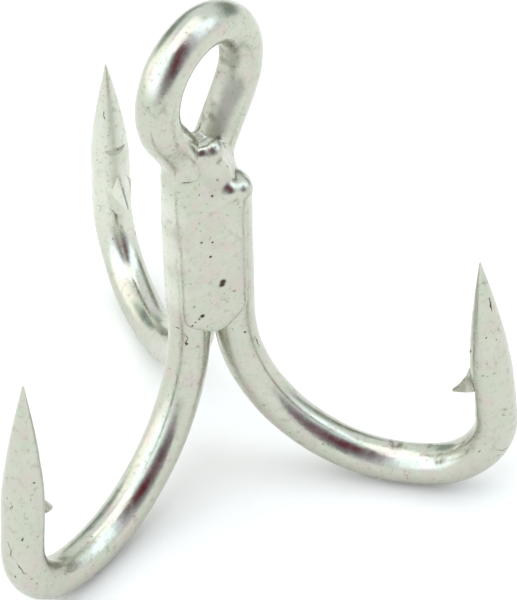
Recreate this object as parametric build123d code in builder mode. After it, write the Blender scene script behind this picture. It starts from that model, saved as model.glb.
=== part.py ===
from build123d import *

import os
from math import acos, atan2, cos, degrees, hypot, radians, sin

# Treble hook, in millimetres. A double hook is bent from one wire: left arm, shank, eye, shank,
# back arm. A single hook lies in the groove between the two shanks, and braze joins all three.
# The origin is the centre of the eye, the hole of the eye runs along Y, and +Z points up the shanks.

# Wire and body
wire_d = 4.0
wire_r = wire_d / 2
body_x = -0.9  # the body's axis stands a little to one side of the eye's centre
body_y = -0.45
bend_z = -26.3  # here the shanks end and the bends start

# Eye
eye_r = 5.85  # centreline radius of the loop
leg_aim_x = 1.55  # the sides of the eye run straight towards this point, either side of centre
leg_aim_z = -8.4
# Each leg leaves the eye straight and turns into its shank: how far each of the two directions
# pulls on the curve between, and the height at which the leg has become a straight shank
left_leg = (5.2, 4.7, -11.0)
back_leg = (6.0, 5.5, -19.0)

# Arms: direction seen from above, from +X towards +Y, and how far out from the body's axis the
# shank stands
left_arm = (181.5, 2.59)
right_arm = (-63.4, 2.66)
back_arm = (60.1, 2.59)
bend_arcs = ((17.9, 60.0), (14.4, 42.0), (7.6, 84.3))  # radius and turn of each stretch of a bend
straight_l = 4.8  # from the last bend to the start of the ground point

# Point: ground over its whole length from full wire to a sharp tip
point_l = 14.2
point_shoulder_l = 4.8  # the grind bulges like an ogive over this length
tip_r = 0.07

# Barb: a sliver cut into the wire on its inner side and raised, so a groove runs below it
barb_crease_l = 13.2  # from the tip of the point down to where the barb rises
barb_tip_l = 16.4
barb_root_l = 15.3
barb_standoff = 1.95  # how far the barb's tip stands off the wire
barb_root_w = 2.5
barb_tip_w = 0.5
barb_tip_t = 0.15
groove_depth = 0.66
groove_end_l = 19.8

# Single hook's upper end, a domed stub beside the foot of the eye
stub_top_z = -9.9
stub_dome_r = 1.0

# Braze
coat_t = 0.16  # thickness of the braze over the outside of the shanks
braze_bottom_z = bend_z + 1.2
braze_shoulder_z = bend_z + 14.6  # top of the braze on the single hook
braze_crotch_z = bend_z + 19.0  # top of the web between the legs of the eye
crotch_l = 8.8
crotch_w = 4.0
crotch_azimuth = 14.0  # direction of the web, from the left leg to the back leg
crotch_x = -0.9
crotch_y = 0.1


def shank_centre(arm):
    """Place of a shank in plan: each shank stands in the plane of its own arm."""
    azimuth, out = arm
    return body_x + out * cos(radians(azimuth)), body_y + out * sin(radians(azimuth))


def arm_plane(arm):
    """Upright plane of an arm: local x points outwards, local y is +Z."""
    azimuth = arm[0]
    x, y = shank_centre(arm)
    outward = (cos(radians(azimuth)), sin(radians(azimuth)), 0)
    normal = (sin(radians(azimuth)), -cos(radians(azimuth)), 0)
    return Plane(origin=(x, y, 0), x_dir=outward, z_dir=normal)


def arm_centreline(arm, shank_top_z):
    """Centreline from the top of a shank, round the bend, to the start of the ground point."""
    with BuildLine(arm_plane(arm)) as centreline:
        Line((0, shank_top_z), (0, bend_z))
        for radius, turn in bend_arcs:
            JernArc(centreline.line @ 1, centreline.line % 1, radius, turn)
        Line(
            centreline.line @ 1,
            centreline.line @ 1 + (centreline.line % 1) * straight_l,
        )
    return centreline.line


def point_plane(centreline, arm):
    """Plane of the arm at its tip: local x points at the shank, local y down the point."""
    base, along = centreline @ 1, centreline % 1
    return Plane(
        origin=base + along * point_l,
        x_dir=along.cross(arm_plane(arm).z_dir) * -1,
        z_dir=arm_plane(arm).z_dir,
    )


def ground_point(plane):
    """Point of a hook, turned about its own axis, with its tip at the plane's origin."""
    with BuildPart() as point:
        with BuildSketch(plane):
            with BuildLine():
                Line((0, 0), (tip_r, 0))
                Bezier((tip_r, 0), (wire_r, point_l - point_shoulder_l), (wire_r, point_l))
                Line((wire_r, point_l), (0, point_l))
                Line((0, point_l), (0, 0))
            make_face()
        revolve(axis=Axis(plane.origin, plane.y_dir))
    return point.part


def barb_groove(plane):
    """What the barb cutter takes out of the wire: a shallow slice, deepest under the barb."""
    root_x = wire_r - groove_depth
    tip_x = wire_r + barb_standoff
    with BuildPart() as groove:
        with BuildSketch(plane):
            with BuildLine():
                Polyline(
                    (root_x, barb_root_l),
                    (tip_x, barb_tip_l),
                    (tip_x, groove_end_l),
                    (wire_r, groove_end_l),
                    close=True,
                )
            make_face()
        extrude(amount=wire_r, both=True)
    return groove.part


def raised_barb(plane):
    """The raised sliver: broad where it leaves the wire and narrow at its tip."""
    crease = plane.from_local_coords(Vector(wire_r - groove_depth, barb_crease_l))
    root = plane.from_local_coords(Vector(wire_r - groove_depth, barb_root_l))
    tip = plane.from_local_coords(Vector(wire_r + barb_standoff, barb_tip_l - barb_tip_t))
    down = (root - crease).normalized()
    root_plane = Plane(origin=(crease + root) / 2, x_dir=down, z_dir=plane.x_dir)
    tip_plane = Plane(origin=tip, x_dir=down, z_dir=plane.x_dir)
    with BuildPart() as barb:
        with BuildSketch(root_plane):
            Rectangle(barb_root_l - barb_crease_l, barb_root_w)
        with BuildSketch(tip_plane):
            Rectangle(2 * barb_tip_t, barb_tip_w)
        loft()
    return barb.part


def leg_of_eye(side, arm, leg_sizes):
    """Leg from the eye to its shank. Side is -1 for the left leg and 1 for the back leg."""
    eye_pull, shank_pull, foot_z = leg_sizes
    reach = hypot(leg_aim_x, leg_aim_z)
    tangent_angle = atan2(leg_aim_z, leg_aim_x) + acos(eye_r / reach)
    start = Vector(side * eye_r * cos(tangent_angle), 0, eye_r * sin(tangent_angle))
    aim = Vector(side * leg_aim_x, 0, leg_aim_z)
    foot = Vector(*shank_centre(arm), foot_z)
    along = (aim - start).normalized()
    with BuildLine() as leg:
        Bezier(
            start,
            start + along * eye_pull,
            foot + Vector(0, 0, shank_pull),
            foot,
        )
    return leg.line


def eye_loop():
    """Round part of the eye, from the top of one leg over to the other."""
    reach = hypot(leg_aim_x, leg_aim_z)
    tangent_angle = degrees(atan2(leg_aim_z, leg_aim_x) + acos(eye_r / reach))
    with BuildLine(Plane.XZ) as loop:
        CenterArc((0, 0), eye_r, tangent_angle, 180 - 2 * tangent_angle)
    return loop.line


def wire_section(path):
    """Plane square to the end of a centreline, for the wire's round section."""
    return Plane(origin=path @ 1, z_dir=path % 1)


# Double hook: one wire from the left point over the eye to the back point
left_line = arm_centreline(left_arm, left_leg[2])
back_line = arm_centreline(back_arm, back_leg[2])
double_path = Wire(
    left_line.edges()
    + leg_of_eye(-1, left_arm, left_leg).edges()
    + eye_loop().edges()
    + leg_of_eye(1, back_arm, back_leg).edges()
    + back_line.edges()
)
left_point = point_plane(left_line, left_arm)
back_point = point_plane(back_line, back_arm)

with BuildPart() as double_hook:
    with BuildSketch(wire_section(left_line)):
        Circle(wire_r)
    sweep(path=double_path)
    for place in (left_point, back_point):
        add(ground_point(place))
        add(barb_groove(place), mode=Mode.SUBTRACT)
        add(raised_barb(place))
double_hook.part.label = "double_hook"

# Single hook: one wire from the right point to the domed stub beside the eye
right_line = arm_centreline(right_arm, stub_top_z)
right_point = point_plane(right_line, right_arm)

with BuildPart() as single_hook:
    with BuildSketch(wire_section(right_line)):
        Circle(wire_r)
    sweep(path=Wire(right_line.edges()))
    fillet(single_hook.edges().group_by(Axis.Z)[-1], stub_dome_r)
    add(ground_point(right_point))
    add(barb_groove(right_point), mode=Mode.SUBTRACT)
    add(raised_barb(right_point))
    add(double_hook.part, mode=Mode.SUBTRACT)
single_hook.part.label = "single_hook"

# Braze body: a skin over the three shanks, the metal between them and the web under the eye
with BuildPart() as braze_body:
    with BuildSketch(Plane.XY.offset(braze_bottom_z)) as skin:
        for arm in (left_arm, right_arm, back_arm):
            with Locations(shank_centre(arm)):
                Circle(wire_r + coat_t)
        make_hull()
    extrude(amount=braze_shoulder_z - braze_bottom_z)
    with BuildSketch(Plane.XY.offset(braze_shoulder_z)):
        for arm in (left_arm, back_arm):
            with Locations(shank_centre(arm)):
                Circle(wire_r + coat_t)
        make_hull()
    with BuildSketch(Plane.XY.offset(braze_crotch_z)):
        with Locations(Location((crotch_x, crotch_y), crotch_azimuth)):
            SlotOverall(crotch_l, crotch_w)
    loft()
    add(double_hook.part, mode=Mode.SUBTRACT)
    add(single_hook.part, mode=Mode.SUBTRACT)
braze_body.part.label = "braze_body"

os.makedirs("parts", exist_ok=True)
export_step(double_hook.part, "parts/double_hook.step")
export_step(single_hook.part, "parts/single_hook.step")
export_step(braze_body.part, "parts/braze_body.step")
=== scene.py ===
"""Treble hook of tinned steel wire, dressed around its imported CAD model.

A double hook is bent from one wire with the eye between its shanks, a single hook lies against it,
and braze joins the three shanks. Lengths are given in millimetres and become metres in the meshes.
"""

import logging
import math
from dataclasses import dataclass
from enum import Enum
from typing import Iterable, Sequence

import bmesh
import bpy
from bmesh.types import BMEdge, BMesh, BMVert
from bpy.types import Material, Mesh, Node, NodeSocket, NodeTree, Object
from mathutils import Euler, Matrix, Vector, noise


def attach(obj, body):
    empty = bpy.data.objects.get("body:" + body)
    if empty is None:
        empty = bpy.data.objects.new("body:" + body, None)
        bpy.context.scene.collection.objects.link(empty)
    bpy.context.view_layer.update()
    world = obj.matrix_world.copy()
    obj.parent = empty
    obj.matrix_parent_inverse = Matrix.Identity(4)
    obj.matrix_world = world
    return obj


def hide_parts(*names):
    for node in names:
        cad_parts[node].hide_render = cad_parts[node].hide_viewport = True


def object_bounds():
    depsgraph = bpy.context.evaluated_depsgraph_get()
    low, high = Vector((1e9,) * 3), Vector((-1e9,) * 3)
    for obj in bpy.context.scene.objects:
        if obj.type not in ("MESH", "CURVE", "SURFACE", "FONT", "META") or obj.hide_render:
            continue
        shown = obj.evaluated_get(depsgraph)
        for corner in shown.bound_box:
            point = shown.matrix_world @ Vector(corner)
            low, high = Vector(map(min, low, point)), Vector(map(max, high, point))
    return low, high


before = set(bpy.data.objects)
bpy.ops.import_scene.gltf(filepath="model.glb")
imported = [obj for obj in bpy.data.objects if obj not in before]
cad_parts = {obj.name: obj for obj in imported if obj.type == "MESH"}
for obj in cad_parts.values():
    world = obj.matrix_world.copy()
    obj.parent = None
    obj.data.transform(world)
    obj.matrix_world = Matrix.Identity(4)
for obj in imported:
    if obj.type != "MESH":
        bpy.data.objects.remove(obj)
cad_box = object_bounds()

log = logging.getLogger("treble_hook")

MM = 0.001
UP = Vector((0.0, 0.0, 1.0))
DOWN = -UP
WIRE_MAP = "along_wire"
BODY_AXIS = Vector((-0.9, -0.45, 0.0))


class Arm(Enum):
    """The three arms: direction seen from above in degrees, and its shank's distance from the axis."""

    LEFT = (181.5, 2.59)
    RIGHT = (-63.4, 2.66)
    BACK = (60.1, 2.59)

    @property
    def outward(self) -> Vector:
        """Level direction in which the arm leaves the shank."""
        azimuth = math.radians(self.value[0])
        return Vector((math.cos(azimuth), math.sin(azimuth), 0.0))

    @property
    def sideways(self) -> Vector:
        """Level direction square to the arm, about which its bend turns."""
        return Vector((self.outward.y, -self.outward.x, 0.0))

    @property
    def shank(self) -> Vector:
        """Place of the shank's centre in plan, in millimetres."""
        return BODY_AXIS + self.outward * self.value[1]


@dataclass(frozen=True)
class Wire:
    """Sizes in millimetres shared by every hook bent from this wire."""

    radius: float = 2.0
    bend_z: float = -26.3
    bends: tuple[tuple[float, float], ...] = ((17.9, 60.0), (14.4, 42.0), (7.6, 84.3))
    straight: float = 4.8
    point: float = 14.2
    point_shoulder: float = 4.8
    tip_radius: float = 0.07
    tip_blunt: float = 0.15  # keeps the very tip from closing to nothing
    step: float = 0.34
    point_step: float = 0.25
    tip_lengths: tuple[float, float] = (1.0, 0.15)  # the point's last stretches, in finer steps
    tip_step: float = 0.03
    sides: int = 72

    def radius_at(self, from_tip: float) -> float:
        """Gives the wire's radius near a tip, where the grind bulges like an ogive.

        Args:
            from_tip: distance from the tip along the wire.

        Returns:
            The radius there.
        """
        if from_tip >= self.point:
            return self.radius
        pull = self.point - self.point_shoulder
        bend = 2 * pull - self.point
        share = (pull - math.sqrt(pull * pull - bend * from_tip)) / bend
        rest = 1 - share
        ground = rest * rest * self.tip_radius + (1 - rest * rest) * self.radius
        blunt = math.sqrt(min(1.0, from_tip / self.tip_radius + self.tip_blunt))
        return ground * blunt


WIRE = Wire()


@dataclass(frozen=True)
class Barb:
    """Barb cut and raised from the wire, by distances in millimetres down from the tip."""

    fold: float = 10.3
    crease: float = 12.6
    root: float = 15.3
    tip: float = 16.4
    standoff: float = 1.95
    root_width: float = 2.5
    tip_width: float = 0.44
    tip_thickness: float = 0.17
    groove_depth: float = 0.7
    groove_end: float = 19.8
    groove_side: tuple[float, float] = (0.45, 2.2)  # how its floor falls away, up and sideways
    fold_size: tuple[float, float, float] = (1.5, 0.66, 3.6)
    fold_turn: tuple[float, float] = (4.0, -36.0)  # tilt across the wire, and slant into it
    fold_out: float = 0.42
    eased: float = 0.05


@dataclass(frozen=True)
class Eye:
    """Line eye: loop radius, and how its two legs run down into their shanks, in millimetres."""

    radius: float = 5.85
    aim: tuple[float, float] = (1.55, -8.4)
    left_leg: tuple[float, float, float] = (5.2, 4.7, -11.0)
    back_leg: tuple[float, float, float] = (6.0, 5.5, -19.0)

    @property
    def tangent_angle(self) -> float:
        """Angle round the loop, in radians, at which the straight legs leave it."""
        reach = math.hypot(*self.aim)
        return math.atan2(self.aim[1], self.aim[0]) + math.acos(self.radius / reach)


EYE = Eye()


class Route:
    """A line through space, in millimetres, grown one stretch after another."""

    def __init__(self, start: Vector, heading: Vector) -> None:
        """Stands at the start and faces along the heading."""
        self.points: list[Vector] = [start.copy()]
        self.heading = heading.normalized()

    def straight(self, length: float, step: float) -> "Route":
        """Goes straight on.

        Args:
            length: how far to go.
            step: largest distance between points.

        Returns:
            The route itself.
        """
        count = max(1, math.ceil(length / step))
        start = self.points[-1].copy()
        for i in range(1, count + 1):
            self.points.append(start + self.heading * (length * i / count))
        return self

    def arc(self, axis: Vector, radius: float, turn: float, step: float) -> "Route":
        """Goes round part of a circle.

        Args:
            axis: direction about which the heading turns.
            radius: radius of the circle.
            turn: angle turned through, in degrees.
            step: largest distance between points.

        Returns:
            The route itself.
        """
        angle = math.radians(turn)
        count = max(2, math.ceil(radius * angle / step))
        half_turn = Matrix.Rotation(angle / count / 2, 3, axis)
        chord = 2 * radius * math.sin(angle / count / 2)
        for _ in range(count):
            self.heading = half_turn @ self.heading
            self.points.append(self.points[-1] + self.heading * chord)
            self.heading = half_turn @ self.heading
        return self

    def curve(self, pulls: Sequence[Vector], step: float) -> "Route":
        """Follows a cubic curve from here.

        Args:
            pulls: the curve's two control points and its end.
            step: rough distance between points.

        Returns:
            The route itself.
        """
        start = self.points[-1].copy()
        length = (pulls[2] - start).length
        count = max(4, math.ceil(length / step))
        for i in range(1, count + 1):
            t = i / count
            self.points.append(
                start * (1 - t) ** 3
                + pulls[0] * (3 * t * (1 - t) ** 2)
                + pulls[1] * (3 * t * t * (1 - t))
                + pulls[2] * t**3
            )
        self.heading = (pulls[2] - pulls[1]).normalized()
        return self


def arm_route(arm: Arm, top_z: float, lean: float = 0.0) -> Route:
    """Lays out an arm from the top of its shank, round its bend, to the tip of its point.

    Args:
        arm: which arm.
        top_z: height at which the shank starts.
        lean: how far the tip stands off the arm's own plane, in millimetres.

    Returns:
        The arm's route.
    """
    route = Route(arm.shank + UP * top_z, DOWN)
    route.straight(top_z - WIRE.bend_z, WIRE.step)
    for radius, turn in WIRE.bends[:-1]:
        route.arc(arm.sideways, radius, turn, WIRE.step)
    flat_until = len(route.points)
    route.arc(arm.sideways, *WIRE.bends[-1], WIRE.step)
    route.straight(WIRE.straight, WIRE.step)
    fine, finest = WIRE.tip_lengths
    route.straight(WIRE.point - fine, WIRE.point_step)
    route.straight(fine - finest, WIRE.point_step / 2)
    route.straight(finest, WIRE.tip_step)
    last = len(route.points) - 1
    for i in range(flat_until, last + 1):
        share = (i - flat_until) / (last - flat_until)
        route.points[i] += arm.sideways * (lean * share * share)
    return route


def eye_leg(way: float, arm: Arm, sizes: tuple[float, float, float]) -> list[Vector]:
    """Lays out a leg from the eye's loop down to its shank.

    Args:
        way: -1 for the left leg and 1 for the back leg.
        arm: the arm below it.
        sizes: pull of the eye, pull of the shank, and height of the foot.

    Returns:
        The leg's points, from the loop to the shank.
    """
    turn = EYE.tangent_angle
    start = Vector((way * EYE.radius * math.cos(turn), 0, EYE.radius * math.sin(turn)))
    aim = (Vector((way * EYE.aim[0], 0, EYE.aim[1])) - start).normalized()
    foot = arm.shank + UP * sizes[2]
    pulls = (start + aim * sizes[0], foot + UP * sizes[1], foot)
    return Route(start, aim).curve(pulls, WIRE.step).points


def eye_legs() -> tuple[list[Vector], list[Vector]]:
    """Lays out the left and the back leg of the eye."""
    return eye_leg(-1.0, Arm.LEFT, EYE.left_leg), eye_leg(1.0, Arm.BACK, EYE.back_leg)


def distances(points: Sequence[Vector]) -> list[float]:
    """Measures how far along a route each of its points is."""
    along = [0.0]
    for here, ahead in zip(points, points[1:]):
        along.append(along[-1] + (ahead - here).length)
    return along


@dataclass
class Frame:
    """One cross-section of a wire: its place and size, and its distance along the wire."""

    matrix: Matrix
    distance: float


class SweptWire:
    """A round wire swept along a route, with each section's frame kept for what is cut into it."""

    def __init__(self, points: Sequence[Vector], radii: Sequence[float], zero: Vector) -> None:
        """Works out the frames of the sections.

        Args:
            points: the route, in millimetres.
            radii: the wire's radius at each point, in millimetres.
            zero: direction from which the way round the wire is measured at the first point.
        """
        self.frames: list[Frame] = []
        marks = distances(points)
        along = (points[1] - points[0]).normalized()
        across = (zero - along * zero.dot(along)).normalized()
        for i, point in enumerate(points):
            ahead = points[min(i + 1, len(points) - 1)]
            behind = points[max(i - 1, 0)]
            turned = (ahead - behind).normalized()
            across = along.rotation_difference(turned).to_matrix() @ across
            along = turned
            across = (across - along * across.dot(along)).normalized()
            axes = Matrix((across, along.cross(across), along)).transposed().to_4x4()
            place = Matrix.Translation(point * MM)
            section = place @ axes @ Matrix.Scale(radii[i] * MM, 4)
            self.frames.append(Frame(section, marks[i]))
        self.length = marks[-1]

    def mesh(self) -> BMesh:
        """Sweeps a circle through the frames and closes both ends.

        Returns:
            The wire, with a map of distance along it and way round it, both in millimetres.
        """
        bm = bmesh.new()
        ring = bm.verts.layers.int.new("ring")
        side = bm.verts.layers.int.new("side")
        first = bmesh.ops.create_circle(
            bm, cap_ends=True, segments=WIRE.sides, radius=1.0, matrix=self.frames[0].matrix
        )["verts"]
        for j, vert in enumerate(first):
            vert[side] = j
        edges = list(bm.edges)
        for i in range(1, len(self.frames)):
            grown = bmesh.ops.extrude_edge_only(bm, edges=edges)["geom"]
            verts = [g for g in grown if isinstance(g, BMVert)]
            new = set(verts)
            lines = [g for g in grown if isinstance(g, BMEdge)]
            edges = [e for e in lines if e.verts[0] in new and e.verts[1] in new]
            step = self.frames[i].matrix @ self.frames[i - 1].matrix.inverted()
            bmesh.ops.transform(bm, matrix=step, verts=verts)
            for vert in verts:
                vert[ring] = i
        bmesh.ops.edgeloop_fill(bm, edges=edges)
        bmesh.ops.recalc_face_normals(bm, faces=bm.faces)
        self._map(bm, ring, side)
        return bm

    def _map(
        self, bm: BMesh, ring: bmesh.types.BMLayerItem, side: bmesh.types.BMLayerItem
    ) -> None:
        """Writes the map that follows the wire.

        Args:
            bm: the wire's mesh.
            ring: layer that numbers the sections.
            side: layer that numbers the vertices round a section.
        """
        layer = bm.loops.layers.uv.new(WIRE_MAP)
        around = 2 * math.pi * WIRE.radius / WIRE.sides
        for face in bm.faces:
            sides = [loop.vert[side] for loop in face.loops]
            wraps = max(sides) == WIRE.sides - 1 and min(sides) == 0 and len(sides) == 4
            for loop in face.loops:
                j = loop.vert[side]
                if wraps and j == 0:
                    j = WIRE.sides
                loop[layer].uv = (self.frames[loop.vert[ring]].distance, j * around)


def object_from(bm: BMesh, name: str) -> Object:
    """Makes an object of a finished bmesh, and frees the bmesh."""
    mesh = bpy.data.meshes.new(name)
    bm.to_mesh(mesh)
    bm.free()
    made = bpy.data.objects.new(name, mesh)
    bpy.context.scene.collection.objects.link(made)
    return made


def settle(target: Object) -> None:
    """Applies an object's modifiers to its mesh."""
    bpy.context.view_layer.update()
    depsgraph = bpy.context.evaluated_depsgraph_get()
    mesh = bpy.data.meshes.new_from_object(target.evaluated_get(depsgraph))
    target.modifiers.clear()
    target.data = mesh


class Cut(Enum):
    """What a tool shape does to the piece it meets."""

    AWAY = "DIFFERENCE"
    JOIN = "UNION"


def combine(target: Object, tool: Object, cut: Cut) -> None:
    """Cuts a tool shape out of a piece or joins it on, and removes the tool.

    Args:
        target: the piece.
        tool: the shape.
        cut: whether it is cut away or joined on.
    """
    boolean = target.modifiers.new(cut.name, "BOOLEAN")
    boolean.operation = cut.value
    boolean.object = tool
    boolean.solver = "EXACT"
    settle(target)
    bpy.data.objects.remove(tool)


def roughen(mesh: Mesh, height: float, length: float, seed: float) -> None:
    """Pushes a mesh's surface in and out a little, as hand forming and dipping leave it.

    Args:
        mesh: the mesh.
        height: greatest push, in millimetres.
        length: size of the unevenness, in millimetres.
        seed: moves the pattern, so that no two pieces share it.
    """
    bm = bmesh.new()
    bm.from_mesh(mesh)
    bm.normal_update()
    shift = Vector((seed, seed * 0.7, -seed))
    for vert in bm.verts:
        here = vert.co / (length * MM) + shift
        vert.co += vert.normal * (noise.noise(here) * height * MM)
    bm.to_mesh(mesh)
    bm.free()


def smooth_by_angle(mesh: Mesh, degrees: float) -> None:
    """Shades a mesh smooth, but keeps edges crisp where it turns by more than an angle."""
    mesh.shade_smooth()
    mesh.set_sharp_from_angle(angle=math.radians(degrees))


class BarbTools:
    """The shapes that cut and raise one barb, placed on a swept wire."""

    def __init__(self, barb: Barb, arm: Arm, tip: Vector, along: Vector) -> None:
        """Stands at the tip of the point.

        Args:
            barb: the barb's sizes.
            arm: the arm it is on.
            tip: place of the tip, in millimetres.
            along: direction from the tip down the point.
        """
        self.barb = barb
        self.floor = WIRE.radius - barb.groove_depth
        self.high = WIRE.radius + barb.standoff
        inward = -arm.outward
        inward = (inward - along * inward.dot(along)).normalized()
        axes = Matrix((inward, along, inward.cross(along))).transposed().to_4x4()
        self.place = Matrix.Scale(MM, 4) @ Matrix.Translation(tip) @ axes

    def _placed(self, bm: BMesh, name: str) -> Object:
        """Puts a tool's mesh on the wire and makes an object of it."""
        bmesh.ops.transform(bm, matrix=self.place, verts=bm.verts)
        bmesh.ops.recalc_face_normals(bm, faces=bm.faces)
        return object_from(bm, name)

    def groove(self) -> Object:
        """Makes the cutter that leaves the groove under the barb.

        Returns:
            The cutter, two flats that meet at a shallow angle in the bottom of the groove.
        """
        b = self.barb
        # The groove is deepest under the barb and runs out to the wire's surface at its end
        outline = [
            Vector((self.floor, b.root, 0.0)),
            Vector((self.high, b.tip, 0.0)),
            Vector((self.high, b.groove_end + 1.2, 0.0)),
            Vector((WIRE.radius + 0.35, b.groove_end + 0.3, 0.0)),
            Vector((self.floor + 0.22, b.groove_end - 2.0, 0.0)),
        ]
        rise, aside = b.groove_side
        bm = bmesh.new()
        bm.faces.new([bm.verts.new(p) for p in outline])
        for way in (1.0, -1.0):
            grown = bmesh.ops.extrude_face_region(bm, geom=self._keel(bm)[:1])["geom"]
            verts = [g for g in grown if isinstance(g, BMVert)]
            bmesh.ops.translate(bm, vec=Vector((rise, 0.0, way * aside)), verts=verts)
        bmesh.ops.delete(bm, geom=self._keel(bm), context="FACES_ONLY")
        bmesh.ops.remove_doubles(bm, verts=bm.verts, dist=1e-6)
        return self._placed(bm, "groove_tool")

    def _keel(self, bm: BMesh) -> list[bmesh.types.BMFace]:
        """Finds the faces in the cutter's middle plane."""
        return [f for f in bm.faces if all(abs(v.co.z) < 1e-6 for v in f.verts)]

    def notch(self) -> Object:
        """Makes the cutter for the fold that opens across the top of the barb.

        Returns:
            The cutter, a thin slab laid slantwise into the wire.
        """
        b = self.barb
        tilt, slant = (math.radians(turn) for turn in b.fold_turn)
        turned = Euler((tilt, 0.0, slant)).to_matrix()
        middle = Vector((WIRE.radius_at(b.fold) + b.fold_out, b.fold, 0.0))
        bm = bmesh.new()
        bmesh.ops.create_cube(bm, size=1.0)
        bmesh.ops.scale(bm, vec=Vector(b.fold_size), verts=bm.verts)
        bmesh.ops.rotate(bm, cent=Vector(), matrix=turned, verts=bm.verts)
        bmesh.ops.translate(bm, vec=middle, verts=bm.verts)
        return self._placed(bm, "notch_tool")

    def sliver(self) -> Object:
        """Makes the raised sliver, a ridged tongue that narrows to its tip.

        Returns:
            The sliver, with its edges eased.
        """
        b = self.barb
        # Share of the way from the root to the tip, the ridge's place, and half the width there
        stations = (
            (0.0, (WIRE.radius - 0.25, b.crease), b.root_width / 2),
            (0.45, (WIRE.radius + 0.58, b.crease + 1.9), 0.92),
            (0.75, (WIRE.radius + 1.26, b.crease + 2.95), 0.56),
            (1.0, (self.high, b.tip - b.tip_thickness), b.tip_width / 2),
        )
        # How far out and up each corner of a section stands, from edge to ridge to edge
        arch = ((-1.0, 0.0), (-0.25, 0.88), (0.0, 1.0), (0.25, 0.88), (1.0, 0.0))
        root = Vector((self.floor, b.root, 0.0))
        tip = Vector((self.high, b.tip, 0.0))
        bm = bmesh.new()
        rings = []
        for share, ridge, half in stations:
            under = root.lerp(tip, share)
            top = Vector((*ridge, 0.0))
            side = Vector((0.0, 0.0, half))
            rings.append([bm.verts.new(under.lerp(top, up) + side * out) for out, up in arch])
        for first, second in zip(rings, rings[1:]):
            for i in range(len(first)):
                j = (i + 1) % len(first)
                bm.faces.new((first[i], first[j], second[j], second[i]))
        bm.faces.new(rings[0])
        bm.faces.new(rings[-1])
        bmesh.ops.recalc_face_normals(bm, faces=bm.faces)
        bmesh.ops.bevel(
            bm,
            geom=list(bm.edges),
            affect="EDGES",
            offset=b.eased,
            segments=2,
            profile=0.5,
            material=-1,
            clamp_overlap=True,
        )
        return self._placed(bm, "barb_tool")


@dataclass(frozen=True)
class Mark:
    """A hairline, scratch or pit: where it is on the wire's map and its size, in millimetres."""

    along: float
    around: float
    length: float
    width: float
    lean: float = 0.0


@dataclass(frozen=True)
class Spot:
    """A round place where the finish differs: its centre and radius in millimetres.

    Share is how strongly it differs, and dark is how strongly the dark tint lies on it: a real stain
    at some spots, painted shade at others.
    """

    centre: tuple[float, float, float]
    radius: float
    share: float = 1.0
    dark: float = 0.0


def srgb(colour: str, strength: float = 1.0) -> tuple[float, float, float, float]:
    """Turns an sRGB hex colour to linear.

    Args:
        colour: six hex digits.
        strength: what the linear colour is multiplied by, for light.

    Returns:
        Red, green, blue and an alpha of 1.
    """
    parts = [int(colour[i : i + 2], 16) / 255 for i in (0, 2, 4)]
    linear = [p / 12.92 if p <= 0.04045 else ((p + 0.055) / 1.055) ** 2.4 for p in parts]
    return (*(p * strength for p in linear), 1.0)


def per_mm(size: float) -> float:
    """Gives the noise scale whose features are a size in millimetres."""
    return 1.0 / (size * MM)


SPOT_CORE = 0.35  # a round spot is at full strength out to this share of its radius


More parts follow.
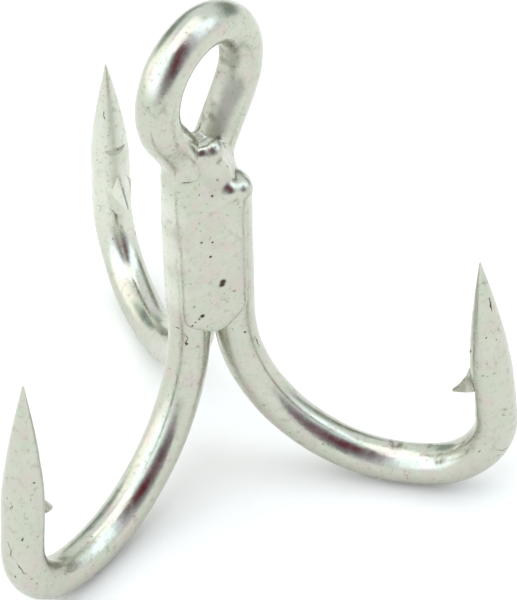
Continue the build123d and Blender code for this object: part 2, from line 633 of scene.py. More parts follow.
class Paint:
    """A node tree that is being filled, with the coordinates that its patterns follow."""

    def __init__(self, tree: NodeTree) -> None:
        """Empties the tree."""
        self.tree = tree
        tree.nodes.clear()
        self.coordinates = self.add("TexCoord").outputs

    def add(self, kind: str, **values: object) -> Node:
        """Adds a node, sets its properties, and sets or links its inputs.

        Args:
            kind: the node's type, without its common first part.
            values: the node's own properties, in small letters, and then its inputs by name, or
                by number after an i. A socket is linked, and so is a node's first live output.

        Returns:
            The node.
        """
        node = self.tree.nodes.new("ShaderNode" + kind)
        for key, value in values.items():
            numbered = key[0] == "i" and key[1:].isdigit()
            if key[0].islower() and not numbered:
                setattr(node, key, value)
                continue
            socket = node.inputs[int(key[1:]) if numbered else key.replace("_", " ")]
            if isinstance(value, Node):
                value = next(o for o in value.outputs if o.enabled)
            if isinstance(value, NodeSocket):
                self.tree.links.new(value, socket)
            else:
                socket.default_value = value
        return node

    def strongest(self, masks: Iterable[object]) -> object:
        """Lays masks over each other, and gives the highest at each place, or 0 without any."""
        total: object = 0.0
        for mask in masks:
            total = self.add("Math", operation="MAXIMUM", use_clamp=True, i0=total, i1=mask)
        return total

    def ellipse(
        self,
        place: object,
        centre: tuple[float, float],
        half: tuple[float, float],
        lean: float,
        edge: tuple[float, float],
    ) -> Node:
        """Draws a soft-edged ellipse.

        Args:
            place: flat coordinates.
            centre: the ellipse's centre.
            half: its half length and half width.
            lean: its turn, in radians.
            edge: where it starts to fade and where it is gone, as shares of its size.

        Returns:
            A mask that is 1 inside.
        """
        local = self.add(
            "Mapping",
            vector_type="TEXTURE",
            Vector=place,
            Location=(*centre, 0.0),
            Rotation=(0.0, 0.0, lean),
            Scale=(*half, 1.0),
        )
        reach = self.add("VectorMath", operation="LENGTH", i0=local)
        return self.fade(reach, edge[1], edge[0])

    def fade(self, value: object, low: float, high: float, top: float = 1.0) -> Node:
        """Turns a value to a mask with soft ends.

        Args:
            value: the value.
            low: where the mask is 0.
            high: where it is full.
            top: how strong it is there.

        Returns:
            The mask.
        """
        soft = "SMOOTHSTEP"
        return self.add(
            "MapRange", interpolation_type=soft, Value=value, From_Min=low, From_Max=high, To_Max=top
        )

    def clouds(self, size: float, detail: float, low: float, high: float) -> Node:
        """Draws a noise over the piece as a mask.

        Args:
            size: size of its features, in millimetres.
            detail: how much finer detail it has.
            low: raw noise that becomes 0.
            high: raw noise that becomes 1.

        Returns:
            The mask.
        """
        place = self.coordinates["Object"]
        raw = self.add("TexNoise", Vector=place, Scale=per_mm(size), Detail=detail)
        return self.fade(raw, low, high)

    def spots(self, spots: Sequence[Spot], strengths: Sequence[float]) -> object:
        """Draws round spots on the piece.

        Args:
            spots: the spots.
            strengths: how strongly each counts. One of 0 is left out.

        Returns:
            A mask of them all, or 0 if there are none.
        """
        masks = []
        for one, strength in zip(spots, strengths):
            if strength:
                centre = tuple(c * MM for c in one.centre)
                place = self.coordinates["Object"]
                reach = self.add("VectorMath", operation="DISTANCE", i0=place, i1=centre)
                size = one.radius * MM
                masks.append(self.fade(reach, size, size * SPOT_CORE, strength))
        return self.strongest(masks)


# Bright tin over hardened steel wire that was drawn, bent, ground and brazed. The plating bath
# leaves a coat a few thousandths of a millimetre thick, which follows every tool mark below it. The
# eye sees a warm white metal with a soft, faintly clouded mirror, slow drifts of green and pink,
# and dark specks where flux kept the tin off. Over the braze, which sets from a melt, the same coat
# is duller and has more pits.
@dataclass(frozen=True)
class TinPlate:
    """Bright tin plate on drawn steel wire, and on its braze: the hook's only finish."""

    name: str
    clean: str = "C2C3B6"
    green: str = "BEC2B1"
    warm: str = "C4BDB4"
    stain: str = "8E8272"
    # Dark tint for real stains, and for painted shade in the eye's crotch
    grime_and_shade: str = "6E6450"
    pit: str = "4A423A"
    # Lighter tint laid on as painted light
    painted_light_tint: str = "DCDFD2"
    rough_low: float = 0.17
    rough_high: float = 0.3
    pit_share: float = 0.32
    stain_share: float = 0.42
    wave: float = 1.0
    marks: tuple[Mark, ...] = ()
    dull: tuple[Spot, ...] = ()
    holes: tuple[Spot, ...] = ()
    # Spots tinted lighter as painted light
    pale: tuple[Spot, ...] = ()

    def material(self) -> Material:
        """Builds the finish.

        Returns:
            The material.
        """
        made = bpy.data.materials.new(self.name)
        made.use_nodes = True
        paint = Paint(made.node_tree)
        pits = self._pits(paint)
        shader = paint.add(
            "BsdfPrincipled",
            Base_Color=self._colour(paint, pits),
            Metallic=1.0,
            Roughness=self._roughness(paint, pits),
            Normal=self._bump(paint, pits),
        )
        paint.add("OutputMaterial", Surface=shader)
        return made

    def _marks(self, paint: Paint) -> list[Node]:
        """Draws the piece's own hairlines and pits on the wire's map.

        Args:
            paint: the material's nodes.

        Returns:
            A mask for each mark.
        """
        if not self.marks:
            return []
        flat = paint.add("UVMap", uv_map=WIRE_MAP)
        # The map is in millimetres. A wobble of 0.6 mm length keeps the hairlines from being ruled
        wobble = paint.add("TexNoise", Vector=flat, Scale=1.6, Detail=3.0).outputs["Color"]
        centred = paint.add("VectorMath", operation="SUBTRACT", i0=wobble, i1=(0.5, 0.5, 0.5))
        push = (0.9, 0.9, 0.0)
        bent = paint.add("VectorMath", operation="MULTIPLY_ADD", i0=centred, i1=push, i2=flat)
        masks = []
        for mark in self.marks:
            centre, half = (mark.along, mark.around), (mark.length / 2, mark.width / 2)
            lean = math.radians(mark.lean)
            masks.append(paint.ellipse(bent, centre, half, lean, (0.45, 1.0)))
        return masks

    def _pits(self, paint: Paint) -> object:
        """Draws everything that is open to the steel: specks, marks and holes.

        Args:
            paint: the material's nodes.

        Returns:
            A mask that is 1 in them.
        """
        # Specks come in patches of some 2.6 mm. Real ones are under 0.1 mm across, too fine to
        # show, so they are drawn at 0.3 mm
        region = paint.clouds(2.6, 1.0, 0.47, 0.6)
        specks = paint.clouds(0.3, 1.0, 0.66, 0.72)
        pits: object = region
        for share in (specks, self.pit_share):
            pits = paint.add("Math", operation="MULTIPLY", use_clamp=True, i0=pits, i1=share)
        holes = paint.spots(self.holes, [hole.share for hole in self.holes])
        return paint.strongest([pits, *self._marks(paint), holes])

    def _colour(self, paint: Paint, pits: object) -> object:
        """Mixes the metal's tints, stains and pits.

        Args:
            paint: the material's nodes.
            pits: mask of pits and marks.

        Returns:
            The colour.
        """
        # The tint drifts over about half the wire's width, and thin stain clouds over 0.6 mm
        stained = paint.clouds(0.6, 4.0, 0.52, 0.8)
        smeared = paint.clouds(0.7, 4.0, 0.42, 0.62)
        dark = paint.spots(self.dull, [spot.dark for spot in self.dull])
        product = {"operation": "MULTIPLY", "use_clamp": True}
        layers = (
            (paint.clouds(2.6, 3.0, 0.35, 0.65), self.green),
            (paint.clouds(1.9, 3.0, 0.46, 0.68), self.warm),
            # Painted light: a lighter tint on the back arm and the body's left side
            (paint.spots(self.pale, [spot.share for spot in self.pale]), self.painted_light_tint),
            (paint.add("Math", **product, i0=stained, i1=self.stain_share), self.stain),
            # Dark tint over the dull spots: real stains, and painted shade in the eye's crotch
            (paint.add("Math", **product, i0=smeared, i1=dark), self.grime_and_shade),
            (pits, self.pit),
        )
        colour: object = srgb(self.clean)
        for share, tint in layers:
            colour = paint.add("Mix", data_type="RGBA", i0=share, i6=colour, i7=srgb(tint))
        return colour

    def _roughness(self, paint: Paint, pits: object) -> object:
        """Varies the gloss, which is dull in the pits and the dull spots.

        Args:
            paint: the material's nodes.
            pits: mask of pits and marks.

        Returns:
            The roughness.
        """
        # Gloss changes over 1.3 mm, as the coat gathered and thinned while it drained
        patch = paint.clouds(1.3, 4.0, 0.3, 0.7)
        low, high = self.rough_low, self.rough_high
        rough = paint.add("MapRange", Value=patch, To_Min=low, To_Max=high)
        dull = paint.spots(self.dull, [spot.share for spot in self.dull])
        for mask, share in ((pits, 0.3), (dull, 0.4)):
            more = paint.add("Math", operation="MULTIPLY", use_clamp=True, i0=mask, i1=share)
            rough = paint.add("Math", operation="ADD", use_clamp=True, i0=rough, i1=more)
        return rough

    def _bump(self, paint: Paint, pits: object) -> Node:
        """Gives the surface its fine unevenness.

        Args:
            paint: the material's nodes.
            pits: mask of pits and marks.

        Returns:
            The normal.
        """
        place = paint.coordinates["Object"]
        # Low waves 1.1 mm long are left from drawing and bending. The tin's own grain is some
        # 0.02 mm across, too fine to show, and is drawn at 0.26 mm
        normal: dict[str, Node] = {}
        for size, detail, height in ((1.1, 3.0, 0.02), (0.26, 2.0, 0.0034)):
            lumps = paint.add("TexNoise", Vector=place, Scale=per_mm(size), Detail=detail)
            height *= self.wave * MM
            bump = paint.add("Bump", Strength=1.0, Distance=height, Height=lumps, **normal)
            normal = {"Normal": bump}
        depth = 0.012 * MM
        return paint.add("Bump", invert=True, Strength=0.6, Distance=depth, Height=pits, **normal)


CRISP_FROM = 40.0  # an edge that turns by more degrees than this stays crisp
BASE_STEPS = 20  # place in a route, counted from its tip, that gives the direction of the point


@dataclass
class Piece:
    """A visible piece, and what it has in the frame: its CAD node and its material slot."""

    name: str
    node: str
    slot: str
    finish: TinPlate

    def dress(self, made: Object) -> Object:
        """Gives the piece its finish and ties it to the frame.

        Args:
            made: the piece's object.

        Returns:
            The same object.
        """
        made.data.materials.clear()
        made.data.materials.append(self.finish.material())
        smooth_by_angle(made.data, CRISP_FROM)
        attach(made, "root")
        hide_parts(self.node)
        log.info("%s: %d faces", self.name, len(made.data.polygons))
        return made


@dataclass
class BentHook(Piece):
    """A hook bent from one length of wire."""

    lumps: tuple[float, float] = (0.03, 3.0)  # height and length of the wire's unevenness

    def swept(self, points: Sequence[Vector], radii: Sequence[float], arm: Arm, seed: float) -> Object:
        """Sweeps the wire and makes it a little uneven.

        Args:
            points: the wire's route, in millimetres.
            radii: its radius at each point.
            arm: the arm from which the way round it is measured.
            seed: moves the unevenness.

        Returns:
            The wire.
        """
        wire = SweptWire(points, radii, -arm.outward)
        log.info("%s: %.1f mm of wire", self.name, wire.length)
        made = object_from(wire.mesh(), self.name)
        roughen(made.data, *self.lumps, seed)
        return made

    def cut_barb(self, made: Object, arm: Arm, tip: Vector, base: Vector, barb: Barb) -> None:
        """Cuts the groove under a barb and the fold above it, and raises the barb.

        Args:
            made: the wire.
            arm: the arm.
            tip: the tip of the point, in millimetres.
            base: a place further down the point.
            barb: the barb's sizes.
        """
        tools = BarbTools(barb, arm, tip, (base - tip).normalized())
        combine(made, tools.groove(), Cut.AWAY)
        combine(made, tools.notch(), Cut.AWAY)
        combine(made, tools.sliver(), Cut.JOIN)


# Most places in these lists, down to BRAZE_HOLES, were looked up on an earlier build of the meshes
# by a separate program. Some were then moved by hand.
DOUBLE_MARKS = (
    Mark(16.3, 1.75, 0.36, 0.32),
    Mark(17.95, 2.93, 2.6, 0.14, -21.0),
    Mark(19.85, 1.91, 2.0, 0.14, -38.0),
    Mark(10.0, 0.4, 0.3, 0.28),
    Mark(11.6, 0.9, 0.45, 0.16),
    Mark(12.6, 2.8, 1.2, 0.11),
    Mark(11.9, 3.4, 0.26, 0.22),
    Mark(20.8, 2.6, 0.34, 0.22),
    Mark(22.3, 0.9, 0.28, 0.24),
    Mark(26.7, 11.3, 0.32, 0.22),
    Mark(33.3, 9.7, 0.28, 0.22),
    Mark(59.0, 10.45, 2.3, 0.17, 4.0),
    Mark(60.4, 9.7, 0.6, 0.16, 45.0),
    Mark(185.8, 5.7, 1.6, 0.22, -16.0),
    Mark(183.2, 8.6, 0.5, 0.2),
    Mark(179.7, 4.8, 0.26, 0.26),
    Mark(183.4, 6.3, 0.28, 0.26),
    Mark(171.8, 6.8, 0.5, 0.2, 75.0),
    Mark(167.9, 9.0, 0.7, 0.2),
    Mark(168.3, 6.1, 0.6, 0.16),
)

# A line has worn the side of the eye dull, handling the back arm, and the crotch between the eye's
# legs is darkened with painted shade.
WORN_STAINED_AND_SHADED_PLACES = (
    Spot((4.4, 1.0, 0.6), 3.2, 1.0),
    Spot((3.4, 0.4, -2.6), 3.0, 1.0),
    Spot((2.2, 0.4, -5.2), 2.8, 1.0),
    Spot((4.0, 0.8, 0.4), 1.5, 0.3, 0.5),
    Spot((1.8, 0.7, -4.8), 1.6, 0.3, 0.55),
    # Painted shade in the crotch between the eye's legs
    Spot((1.0, 1.2, -6.7), 0.85, 0.6, 1.0),
    Spot((11.1, 21.9, -22.5), 5.0, 0.55),
    Spot((11.4, 21.3, -28.0), 4.0, 0.4),
    Spot((-6.97, -1.39, 2.1), 1.3, 0.2, 0.3),
    Spot((-5.6, -1.7, -3.9), 1.6, 0.2, 0.22),
)

SINGLE_FINISH = TinPlate(
    "tin_plated_wire_single",
    marks=(
        Mark(17.8, 4.9, 0.42, 0.3),
        Mark(20.1, 3.6, 1.7, 0.16, -10.0),
        Mark(19.4, 4.1, 1.0, 0.14, 40.0),
        Mark(71.3, 7.9, 1.8, 0.5, 8.0),
        Mark(68.3, 8.3, 0.6, 0.17),
        Mark(67.9, 6.4, 0.28, 0.22),
        Mark(67.4, 7.8, 0.28, 0.22),
        Mark(64.2, 5.3, 0.32, 0.22),
        Mark(63.3, 5.7, 0.32, 0.24),
        Mark(55.2, 4.7, 0.32, 0.22),
        Mark(52.9, 5.7, 0.5, 0.17),
        Mark(53.85, 7.7, 2.0, 0.15, 85.0),
    ),
    dull=(
        Spot((7.6, -16.5, -41.8), 1.2, 0.5, 0.75),
        Spot((8.9, -19.1, -41.6), 1.0, 0.5, 0.65),
        Spot((8.2, -21.3, -41.4), 0.9, 0.5, 0.75),
    ),
)

# Painted light: the back arm and the left side of the body are tinted lighter, as if they mirrored
# brighter surroundings
PAINTED_LIGHT_PLACES = (
    Spot((11.0, 22.0, -29.0), 16.0, 0.6),
    Spot((-6.6, 0.3, -11.0), 3.4, 0.6),
    Spot((-6.6, 0.3, -16.0), 3.4, 0.6),
    Spot((-6.6, 0.3, -21.0), 3.4, 0.6),
)

# Painted shade darkening the braze in the crotch between the eye's legs
CROTCH_PAINTED_SHADE = (
    Spot((0.7, 1.2, -6.9), 0.9, 0.6, 1.0),
    Spot((0.2, 0.9, -7.0), 0.6, 0.6, 0.9),
)

BRAZE_HOLES = (
    Spot((-2.27, -3.79, -20.3), 0.44),
    Spot((-2.36, -3.76, -20.62), 0.42),
    Spot((-3.91, -2.80, -14.8), 0.17),
    Spot((-3.01, -3.34, -15.1), 0.16),
    Spot((-3.21, -3.21, -16.8), 0.2),
    Spot((-2.75, -3.3, -9.7), 0.17),
    Spot((-4.08, -2.69, -23.9), 0.32),
    Spot((-4.32, -2.50, -24.2), 0.16),
    Spot((-4.62, -2.28, -24.5), 0.14),
    Spot((-4.85, -2.08, -24.9), 0.16),
    Spot((-5.05, -1.86, -25.3), 0.15),
)

@dataclass
class DoubleHook(BentHook):
    """Left and back arms, their shanks, and the eye between them, all one wire."""

    name: str = "double_hook_wire"
    node: str = "double_hook"
    slot: str = "plated_wire"
    finish: TinPlate = TinPlate(
        "tin_plated_wire_double", marks=DOUBLE_MARKS, dull=WORN_STAINED_AND_SHADED_PLACES, pale=PAINTED_LIGHT_PLACES
    )
    lean: float = -0.4
    # The cutter does not strike each point in quite the same place
    left_barb: Barb = Barb(tip=16.9, standoff=2.15, tip_width=0.3)
    back_barb: Barb = Barb(crease=13.2, root=15.9, tip=17.2, groove_end=20.5, root_width=2.7)

    def build(self) -> Object:
        """Sweeps the wire from the left point over the eye to the back point.

        Returns:
            The double hook.
        """
        left = arm_route(Arm.LEFT, EYE.left_leg[2]).points
        back = arm_route(Arm.BACK, EYE.back_leg[2], self.lean).points
        left_leg, back_leg = eye_legs()
        turn = 180 - 2 * math.degrees(EYE.tangent_angle)
        hole = Vector((0.0, 1.0, 0.0))
        loop = Route(left_leg[0], hole.cross(left_leg[0].normalized()))
        loop.arc(hole, EYE.radius, turn, WIRE.step)
        points = left[::-1] + left_leg[-2::-1] + loop.points[1:] + back_leg[1:] + back[1:]
        along = distances(points)
        radii = [WIRE.radius_at(min(s, along[-1] - s)) for s in along]
        made = self.swept(points, radii, Arm.LEFT, 1.0)
        self.cut_barb(made, Arm.LEFT, points[0], points[BASE_STEPS], self.left_barb)
        self.cut_barb(made, Arm.BACK, points[-1], points[-BASE_STEPS], self.back_barb)
        return self.dress(made)


@dataclass
class SingleHook(BentHook):
    """Right arm and its shank, up to the domed stub beside the eye's foot."""

    name: str = "single_hook_wire"
    node: str = "single_hook"
    slot: str = "plated_wire"
    finish: TinPlate = SINGLE_FINISH
    stub_top: float = -9.9
    dome: float = 1.0
    dome_steps: int = 8

    def build(self) -> Object:
        """Sweeps the wire from its domed stub to the right point.

        Returns:
            The single hook.
        """
        points = arm_route(Arm.RIGHT, self.stub_top).points
        top = points[0]
        cap = []
        cap_radii = []
        for i in range(self.dome_steps):
            angle = math.radians(90 * (1 - i / self.dome_steps))
            cap.append(top + DOWN * (self.dome * (1 - math.sin(angle)) * 0.999))
            cap_radii.append(WIRE.radius - self.dome + self.dome * math.cos(angle))
        rest = [p for p in points if p.z < top.z - self.dome - 0.02]
        points = cap + [top + DOWN * self.dome] + rest
        along = distances(points)
        radii = [WIRE.radius_at(along[-1] - s) for s in along]
        radii[: len(cap_radii)] = cap_radii
        made = self.swept(points, radii, Arm.RIGHT, 5.0)
        self.cut_barb(made, Arm.RIGHT, points[-1], points[-BASE_STEPS], Barb())
        return self.dress(made)


@dataclass(frozen=True)
class Disc:
    """A round section of braze: its place in plan, its height and its radius, in millimetres."""

    x: float
    y: float
    z: float
    radius: float


@dataclass
class Braze(Piece):
    """Braze between the three shanks: flat webs, a saddle under the eye and a cap on the stub."""

    name: str = "braze_metal"
    node: str = "braze_body"
    slot: str = "plated_braze"
    finish: TinPlate = TinPlate(
        "tinned_braze",
        rough_low=0.2,
        rough_high=0.34,
        pit_share=0.6,
        wave=1.4,
        holes=BRAZE_HOLES,
        pale=PAINTED_LIGHT_PLACES,
        dull=CROTCH_PAINTED_SHADE,
    )
    web_edge: float = 1.3
    web_out: float = 0.86
    web_bottom: float = -26.6
    web_top: float = -11.8
    saddle_z: float = -8.0
    saddle_front: tuple[float, float, float] = (-0.5215, -0.853, 0.0)
    nose: tuple[float, float, float] = (-1.45, -1.95, -6.15)
    # Drops that set as they ran, with their radii: at the front of the saddle, on the stub, and in
    # the crotch
    drops: tuple[tuple[float, float, float, float], ...] = (
        (-1.35, -2.05, -6.0, 1.36),
        (-0.7, -3.45, -10.3, 1.3),
        (0.35, -3.95, -10.6, 1.25),
        (-2.3, -1.5, -5.9, 1.05),
        (0.25, 1.25, -7.5, 0.85),
    )
    cap_top: float = 9.35
    cap_height: float = 1.7
    cap_round: float = 0.85
    skin: float = 0.075
    skin_root: float = 0.12  # how far inside the wire's surface the skin starts
    grain: float = 0.13
    smoothing: int = 44

    def _block(self, bm: BMesh, discs: Iterable[Disc]) -> list[BMVert]:
        """Adds the smallest solid that wraps round some level discs.

        Args:
            bm: the mesh to add to.
            discs: the discs.

        Returns:
            The solid's vertices.
        """
        part = bmesh.new()
        for disc in discs:
            place = Matrix.Translation(Vector((disc.x, disc.y, disc.z)) * MM)
            bmesh.ops.create_circle(
                part, cap_ends=False, segments=32, radius=disc.radius * MM, matrix=place
            )
        hull = bmesh.ops.convex_hull(part, input=part.verts, use_existing_faces=False)
        loose = [g for g in hull["geom_interior"] if isinstance(g, BMVert)]
        bmesh.ops.delete(part, geom=loose, context="VERTS")
        bmesh.ops.recalc_face_normals(part, faces=part.faces)
        return self._add(bm, part)

    def _add(
        self, bm: BMesh, part: BMesh
    ) -> list[BMVert]:
        """Moves a part's geometry into another mesh, and gives its vertices there."""
        mesh = bpy.data.meshes.new("block")
        part.to_mesh(mesh)
        part.free()
        before = set(bm.verts)
        bm.from_mesh(mesh)
        bpy.data.meshes.remove(mesh)
        return [v for v in bm.verts if v not in before]

    def _trim(
        self, bm: BMesh, verts: list[BMVert], place: Vector, way: Vector
    ) -> list[BMVert]:
        """Cuts a block with a plane and closes it again.

        Args:
            bm: the mesh.
            verts: the block's vertices.
            place: a point of the plane, in millimetres.
            way: direction from the plane in which everything is cut off.

        Returns:
            The vertices that are left.
        """
        faces = {f for v in verts for f in v.link_faces}
        edges = {e for v in verts for e in v.link_edges}
        cut = bmesh.ops.bisect_plane(
            bm,
            geom=[*verts, *edges, *faces],
            plane_co=place * MM,
            plane_no=way,
            clear_outer=True,
        )
        rim = [g for g in cut["geom_cut"] if isinstance(g, BMEdge)]
        left = [v for v in verts if v.is_valid]
        left += [g for g in cut["geom_cut"] if isinstance(g, BMVert)]
        bmesh.ops.edgeloop_fill(bm, edges=rim)
        return left

    def _web(
        self,
        bm: BMesh,
        first: Arm,
        second: Arm,
        slopes: tuple[float, float],
        edges: tuple[float, float],
    ) -> None:
        """Adds the flat web between two shanks, with its lower edge hanging in an arc.

        Args:
            bm: the mesh to add to.
            first: one shank.
            second: the other.
            slopes: how steeply the lower edge rises towards each of them.
            edges: radius of the web's rounded edge beside each of them.
        """
        across = (second.shank - first.shank).normalized()
        out = Vector((across.y, -across.x, 0.0))
        if out.dot((first.shank + second.shank) / 2 - BODY_AXIS) < 0:
            out = -out
        discs = []
        for arm, edge in zip((first, second), edges):
            place = arm.shank + out * (self.web_edge + self.web_out - edge)
            for z in (self.web_bottom, self.web_top):
                discs.append(Disc(place.x, place.y, z, edge))
                discs.append(Disc(arm.shank.x, arm.shank.y, z, 0.5))
        verts = self._block(bm, discs)
        low = first.shank.lerp(second.shank, 0.5) + UP * self.web_bottom
        for way, slope in ((-across, slopes[0]), (across, slopes[1])):
            for share in (0.45, 1.0):
                rise = slope * share
                start = low + way * (0.9 * share) + UP * (0.25 * slope * share)
                cut_way = (way * rise - UP).normalized()
                verts = self._trim(bm, verts, start, cut_way)

    def _sleeve(
        self, bm: BMesh, points: Sequence[Vector], radii: Sequence[float]
    ) -> None:
        """Adds a skin round a wire.

        Args:
            bm: the mesh to add to.
            points: the wire's route through the skin, in millimetres.
            radii: the skin's outer radius at each point.
        """
        swept = SweptWire(points, radii, Vector((1.0, 0.0, 0.0)))
        self._add(bm, swept.mesh())

    def _skinned(
        self,
        bm: BMesh,
        route: Sequence[Vector],
        low: float,
        high: float,
        fade: tuple[float, float],
    ) -> None:
        """Adds a thin skin along part of a wire, thinning to nothing at its ends.

        Args:
            bm: the mesh to add to.
            route: the wire's route, from the top down.
            low: height of the skin's lower end.
            high: height of its upper end.
            fade: lengths over which it thins, at its lower and upper end.
        """
        points = [p for p in route if low <= p.z <= high]
        radii = []
        for p in points:
            share = min(1.0, (p.z - low) / fade[0], (high - p.z) / fade[1])
            grown = (self.skin + self.skin_root) * math.sqrt(max(0.0, share))
            radii.append(WIRE.radius - self.skin_root + grown)
        self._sleeve(bm, points, radii)

    def _drop(self, bm: BMesh, x: float, y: float, z: float, radius: float) -> None:
        """Adds a round drop of braze."""
        levels = [math.radians(a) for a in range(-75, 90, 15)]
        discs = [Disc(x, y, z + radius * math.sin(a), radius * math.cos(a)) for a in levels]
        self._block(bm, discs)

    def _saddle(
        self, bm: BMesh, left: Vector, back: Vector, fork: Vector
    ) -> None:
        """Adds the metal that climbs from the webs into the crotch of the eye.

        Args:
            bm: the mesh to add to.
            left: centre of the left leg at the saddle's height.
            back: centre of the back leg there.
            fork: centre of the left leg where the saddle starts to part from it.
        """
        base = self.web_top - 0.6
        middle = (left + back) / 2
        front = Vector(self.saddle_front) * self.web_out
        low_left = Arm.LEFT.shank + front
        low_right = Arm.RIGHT.shank + front
        low_middle = low_left.lerp(low_right, 0.5)
        nose = Vector(self.nose)
        discs = [
            Disc(Arm.BACK.shank.x, Arm.BACK.shank.y, base, 1.9),
            Disc(low_left.x, low_left.y, base, self.web_edge),
            Disc(low_right.x, low_right.y, base, self.web_edge),
            Disc(low_left.x + 0.3, low_left.y + 0.2, -9.2, 1.25),
            Disc(low_middle.x, low_middle.y, -10.3, self.web_edge),
            Disc(low_right.x - 0.9, low_right.y + 1.0, -11.1, 1.3),
            Disc(middle.x, middle.y - 0.3, self.saddle_z, 1.35),
            Disc(back.x - 0.1, back.y, self.saddle_z - 0.9, 1.4),
            Disc(nose.x, nose.y, nose.z - 0.5, 1.1),
            Disc(nose.x, nose.y, nose.z + 0.2, 0.95),
            Disc(fork.x + 0.35, fork.y - 0.2, fork.z, 1.55),
        ]
        self._block(bm, discs)
        for drop in self.drops:
            self._drop(bm, *drop)
        stub = Arm.RIGHT.shank
        leg = Arm.BACK.shank
        discs = [
            Disc(stub.x, stub.y, base, 1.95),
            Disc(leg.x, leg.y, base, 1.9),
            Disc(stub.x - 0.1, stub.y + 0.4, -11.0, 1.3),
            Disc(leg.x + 0.3, leg.y - 0.6, -9.9, 1.4),
        ]
        self._block(bm, discs)

    def _cap(self, bm: BMesh) -> None:
        """Adds the rounded skin over the stub of the single hook.

        Args:
            bm: the mesh to add to.
        """
        points = []
        radii = []
        top = Arm.RIGHT.shank + DOWN * self.cap_top
        full = WIRE.radius + self.skin
        for turn in range(10, 100, 10):
            angle = math.radians(turn)
            points.append(top + DOWN * (self.cap_height * (1 - math.cos(angle))))
            radii.append(full * math.sin(angle) ** self.cap_round)
        for i in range(1, 20):
            points.append(top + DOWN * (self.cap_height + 0.3 * i))
            radii.append(full - 0.012 * i)
        self._sleeve(bm, points, radii)

    def build(self) -> Object:
        """Builds up the braze from blocks, melts them together and smooths them.

        Returns:
            The braze.
        """
        bm = bmesh.new()
        left_leg, back_leg = eye_legs()
        self._web(bm, Arm.LEFT, Arm.RIGHT, (0.62, 1.05), (1.72, 1.3))
        self._web(bm, Arm.RIGHT, Arm.BACK, (0.9, 0.8), (1.3, 1.3))
        self._web(bm, Arm.BACK, Arm.LEFT, (0.8, 0.6), (1.3, 1.5))
        left_route = left_leg + arm_route(Arm.LEFT, left_leg[-1].z).points[1:60]
        back_route = back_leg + arm_route(Arm.BACK, back_leg[-1].z).points[1:40]
        self._skinned(bm, left_route, -17.0, -7.6, (3.0, 0.12))
        self._skinned(bm, back_route, -17.0, -7.0, (3.0, 2.2))
        self._saddle(
            bm,
            min(left_leg, key=lambda p: abs(p.z - self.saddle_z)),
            min(back_leg, key=lambda p: abs(p.z - self.saddle_z)),
            min(left_leg, key=lambda p: abs(p.z - self.saddle_z - 1.5)),
        )
        self._cap(bm)
        made = object_from(bm, self.name)
        melt = made.modifiers.new("melt", "REMESH")
        melt.mode = "VOXEL"
        melt.voxel_size = self.grain * MM
        relax = made.modifiers.new("relax", "SMOOTH")
        relax.factor = 0.5
        relax.iterations = self.smoothing
        settle(made)
        roughen(made.data, 0.03, 2.2, 9.0)
        return self.dress(made)


@dataclass(frozen=True)
class Viewpoint:
    """The camera: where it looks from and at, and its lens, in degrees and millimetres."""

    azimuth: float = 219.528
    elevation: float = 43.353
    roll: float = -1.47
    distance: float = 300.0
    target: tuple[float, float, float] = (2.23, -4.25, -25.70)
    lens: float = 192.0
    sensor: float = 36.0

    def place(self) -> Object:
        """Makes the camera.

        Returns:
            The camera object.
        """
        azimuth, elevation = math.radians(self.azimuth), math.radians(self.elevation)
        level = math.cos(elevation)
        back = Vector(
            (level * math.cos(azimuth), level * math.sin(azimuth), math.sin(elevation))
        )
        right = UP.cross(back).normalized()
        up = back.cross(right)
        roll = math.radians(self.roll)
        rolled_right = right * math.cos(roll) + up * math.sin(roll)
        rolled_up = up * math.cos(roll) - right * math.sin(roll)
        axes = Matrix((rolled_right, rolled_up, back)).transposed().to_4x4()
        data = bpy.data.cameras.new("camera")
        data.lens = self.lens
        data.sensor_width = self.sensor
        data.clip_start = 0.01
        data.clip_end = 20.0
        camera = bpy.data.objects.new("camera", data)
        where = (Vector(self.target) + back * self.distance) * MM
        camera.matrix_world = Matrix.Translation(where) @ axes
        bpy.context.scene.collection.objects.link(camera)
        bpy.context.scene.camera = camera
        return camera


@dataclass(frozen=True)
class SkyPatch:
    """Something soft-edged round the table: its direction, half sizes and softness, in degrees."""

    azimuth: float
    elevation: float
    half_width: float
    half_height: float
    colour: str
    strength: float
    softness: float = 0.45


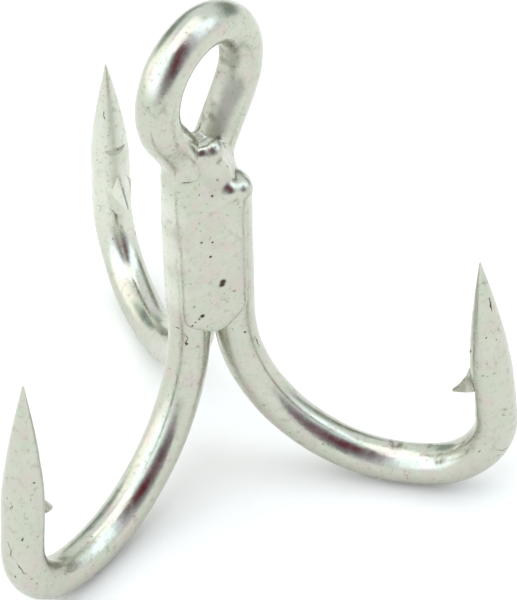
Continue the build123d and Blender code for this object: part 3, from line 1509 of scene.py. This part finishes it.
@dataclass
class Studio:
    """Pale floor, soft overhead light, and the surroundings that the bright metal mirrors."""

    floor_size: float = 6.0
    seam_azimuth: float = 35.0  # where the map of the surroundings joins, behind the hook
    sky: tuple[str, float] = ("EDF2F7", 1.29)
    overhead: tuple[str, float] = ("E8F0F8", 1.02)
    overhead_from: tuple[float, float] = (50.0, 75.0)
    softbox_size: tuple[float, float] = (0.55, 0.45)
    softbox_place: tuple[float, float, float] = (0.03, 0.02, 0.55)
    softbox_watts: float = 0.9
    patches: tuple[SkyPatch, ...] = (
        SkyPatch(124, 24, 42, 36, "FBFBF8", 1.85, 0.5),
        SkyPatch(171, 40, 38, 33, "E8F3FF", 2.35, 0.35),
        SkyPatch(305, 42, 27, 25, "E4F1FF", 2.35, 0.4),
        SkyPatch(80, 22, 20, 15, "AFC6BD", 0.78, 0.5),
        SkyPatch(60, 3, 22, 14, "A3B3AD", 0.78, 0.6),
        SkyPatch(350, 12, 22, 13, "A9B8B2", 0.8, 0.6),
        SkyPatch(12, 9, 16, 14, "A9B0A4", 0.85, 0.6),
        SkyPatch(246, 34, 41, 48, "A39DAC", 0.86, 0.4),
        SkyPatch(246, 39, 21, 27, "8C5564", 0.68, 0.5),
        SkyPatch(249, 37, 13, 15, "8A2A40", 0.7, 0.6),
    )

    def surroundings(self) -> None:
        """Paints the world round the floor: a pale sky with bright screens and dim things in it."""
        world = bpy.data.worlds.new("studio")
        bpy.context.scene.world = world
        world.use_nodes = True
        paint = Paint(world.node_tree)
        seam = math.radians(180 + self.seam_azimuth)
        way = paint.coordinates["Generated"]
        turned = paint.add("Mapping", vector_type="POINT", Vector=way, Rotation=(0.0, 0.0, -seam))
        parts = paint.add("SeparateXYZ", Vector=turned).outputs
        around = paint.add("Math", operation="ARCTAN2", i0=parts["Y"], i1=parts["X"])
        height = paint.add("Math", operation="ARCSINE", i0=parts["Z"])
        place = paint.add("CombineXYZ", X=around, Y=height)
        low, high = (math.radians(angle) for angle in self.overhead_from)
        layers = [(paint.fade(height, low, high), srgb(*self.overhead))]
        for patch in self.patches:
            turn = (patch.azimuth - math.degrees(seam) + 180) % 360 - 180
            centre = (math.radians(turn), math.radians(patch.elevation))
            half = (math.radians(patch.half_width), math.radians(patch.half_height))
            edge = (1 - patch.softness, 1 + patch.softness)
            mask = paint.ellipse(place, centre, half, 0.0, edge)
            layers.append((mask, srgb(patch.colour, patch.strength)))
        colour: object = srgb(*self.sky)
        for share, light in layers:
            colour = paint.add("Mix", data_type="RGBA", i0=share, i6=colour, i7=light)
        background = paint.add("Background", Color=colour, Strength=1.0)
        paint.add("OutputWorld", Surface=background)

    def softbox(self) -> None:
        """Hangs the large soft light overhead."""
        data = bpy.data.lights.new("softbox", "AREA")
        data.shape = "RECTANGLE"
        data.size, data.size_y = self.softbox_size
        data.energy = self.softbox_watts
        light = bpy.data.objects.new("softbox", data)
        light.location = self.softbox_place
        bpy.context.scene.collection.objects.link(light)

    def card(self) -> Material:
        """Makes the floor's matt white card.

        Returns:
            The material.
        """
        # Uncoated card, pressed from pulp. The eye sees an even matt white. Its fibres are some
        # 0.02 mm thick, too fine to show, and are drawn as faint clouds of 2 mm
        made = bpy.data.materials.new("matt_white_card")
        made.use_nodes = True
        paint = Paint(made.node_tree)
        place = paint.coordinates["Object"]
        pulp = paint.add("TexNoise", Vector=place, Scale=per_mm(2.0), Detail=4.0)
        tone = paint.add(
            "Mix", data_type="RGBA", i0=pulp, i6=srgb("F8F6F0"), i7=srgb("FAF9F4")
        )
        matt = {"Roughness": 0.9, "Specular_IOR_Level": 0.0}
        paint.add("OutputMaterial", Surface=paint.add("BsdfPrincipled", Base_Color=tone, **matt))
        return made

    def floor(self, height: float) -> None:
        """Lays the floor under the hook.

        Args:
            height: height of the floor, in metres.
        """
        bm = bmesh.new()
        place = Matrix.Translation((0.0, 0.0, height))
        half = self.floor_size / 2
        bmesh.ops.create_grid(bm, x_segments=8, y_segments=8, size=half, matrix=place)
        floor = object_from(bm, "floor")
        floor.data.materials.append(self.card())

    def build(self, height: float) -> None:
        """Builds the floor, the light and the surroundings.

        Args:
            height: height of the floor, in metres.
        """
        self.surroundings()
        self.softbox()
        self.floor(height)
        bpy.context.scene.view_settings.view_transform = "Standard"


def main() -> None:
    """Builds the hook, its studio and its camera."""
    logging.basicConfig(level=logging.INFO, format="%(name)s %(message)s")
    for piece in (DoubleHook(), SingleHook(), Braze()):
        made = piece.build()
        log.info("%s rides on root", made.name)
    Studio().build(cad_box[0].z)
    Viewpoint().place()


if __name__ == "__main__":
    main()
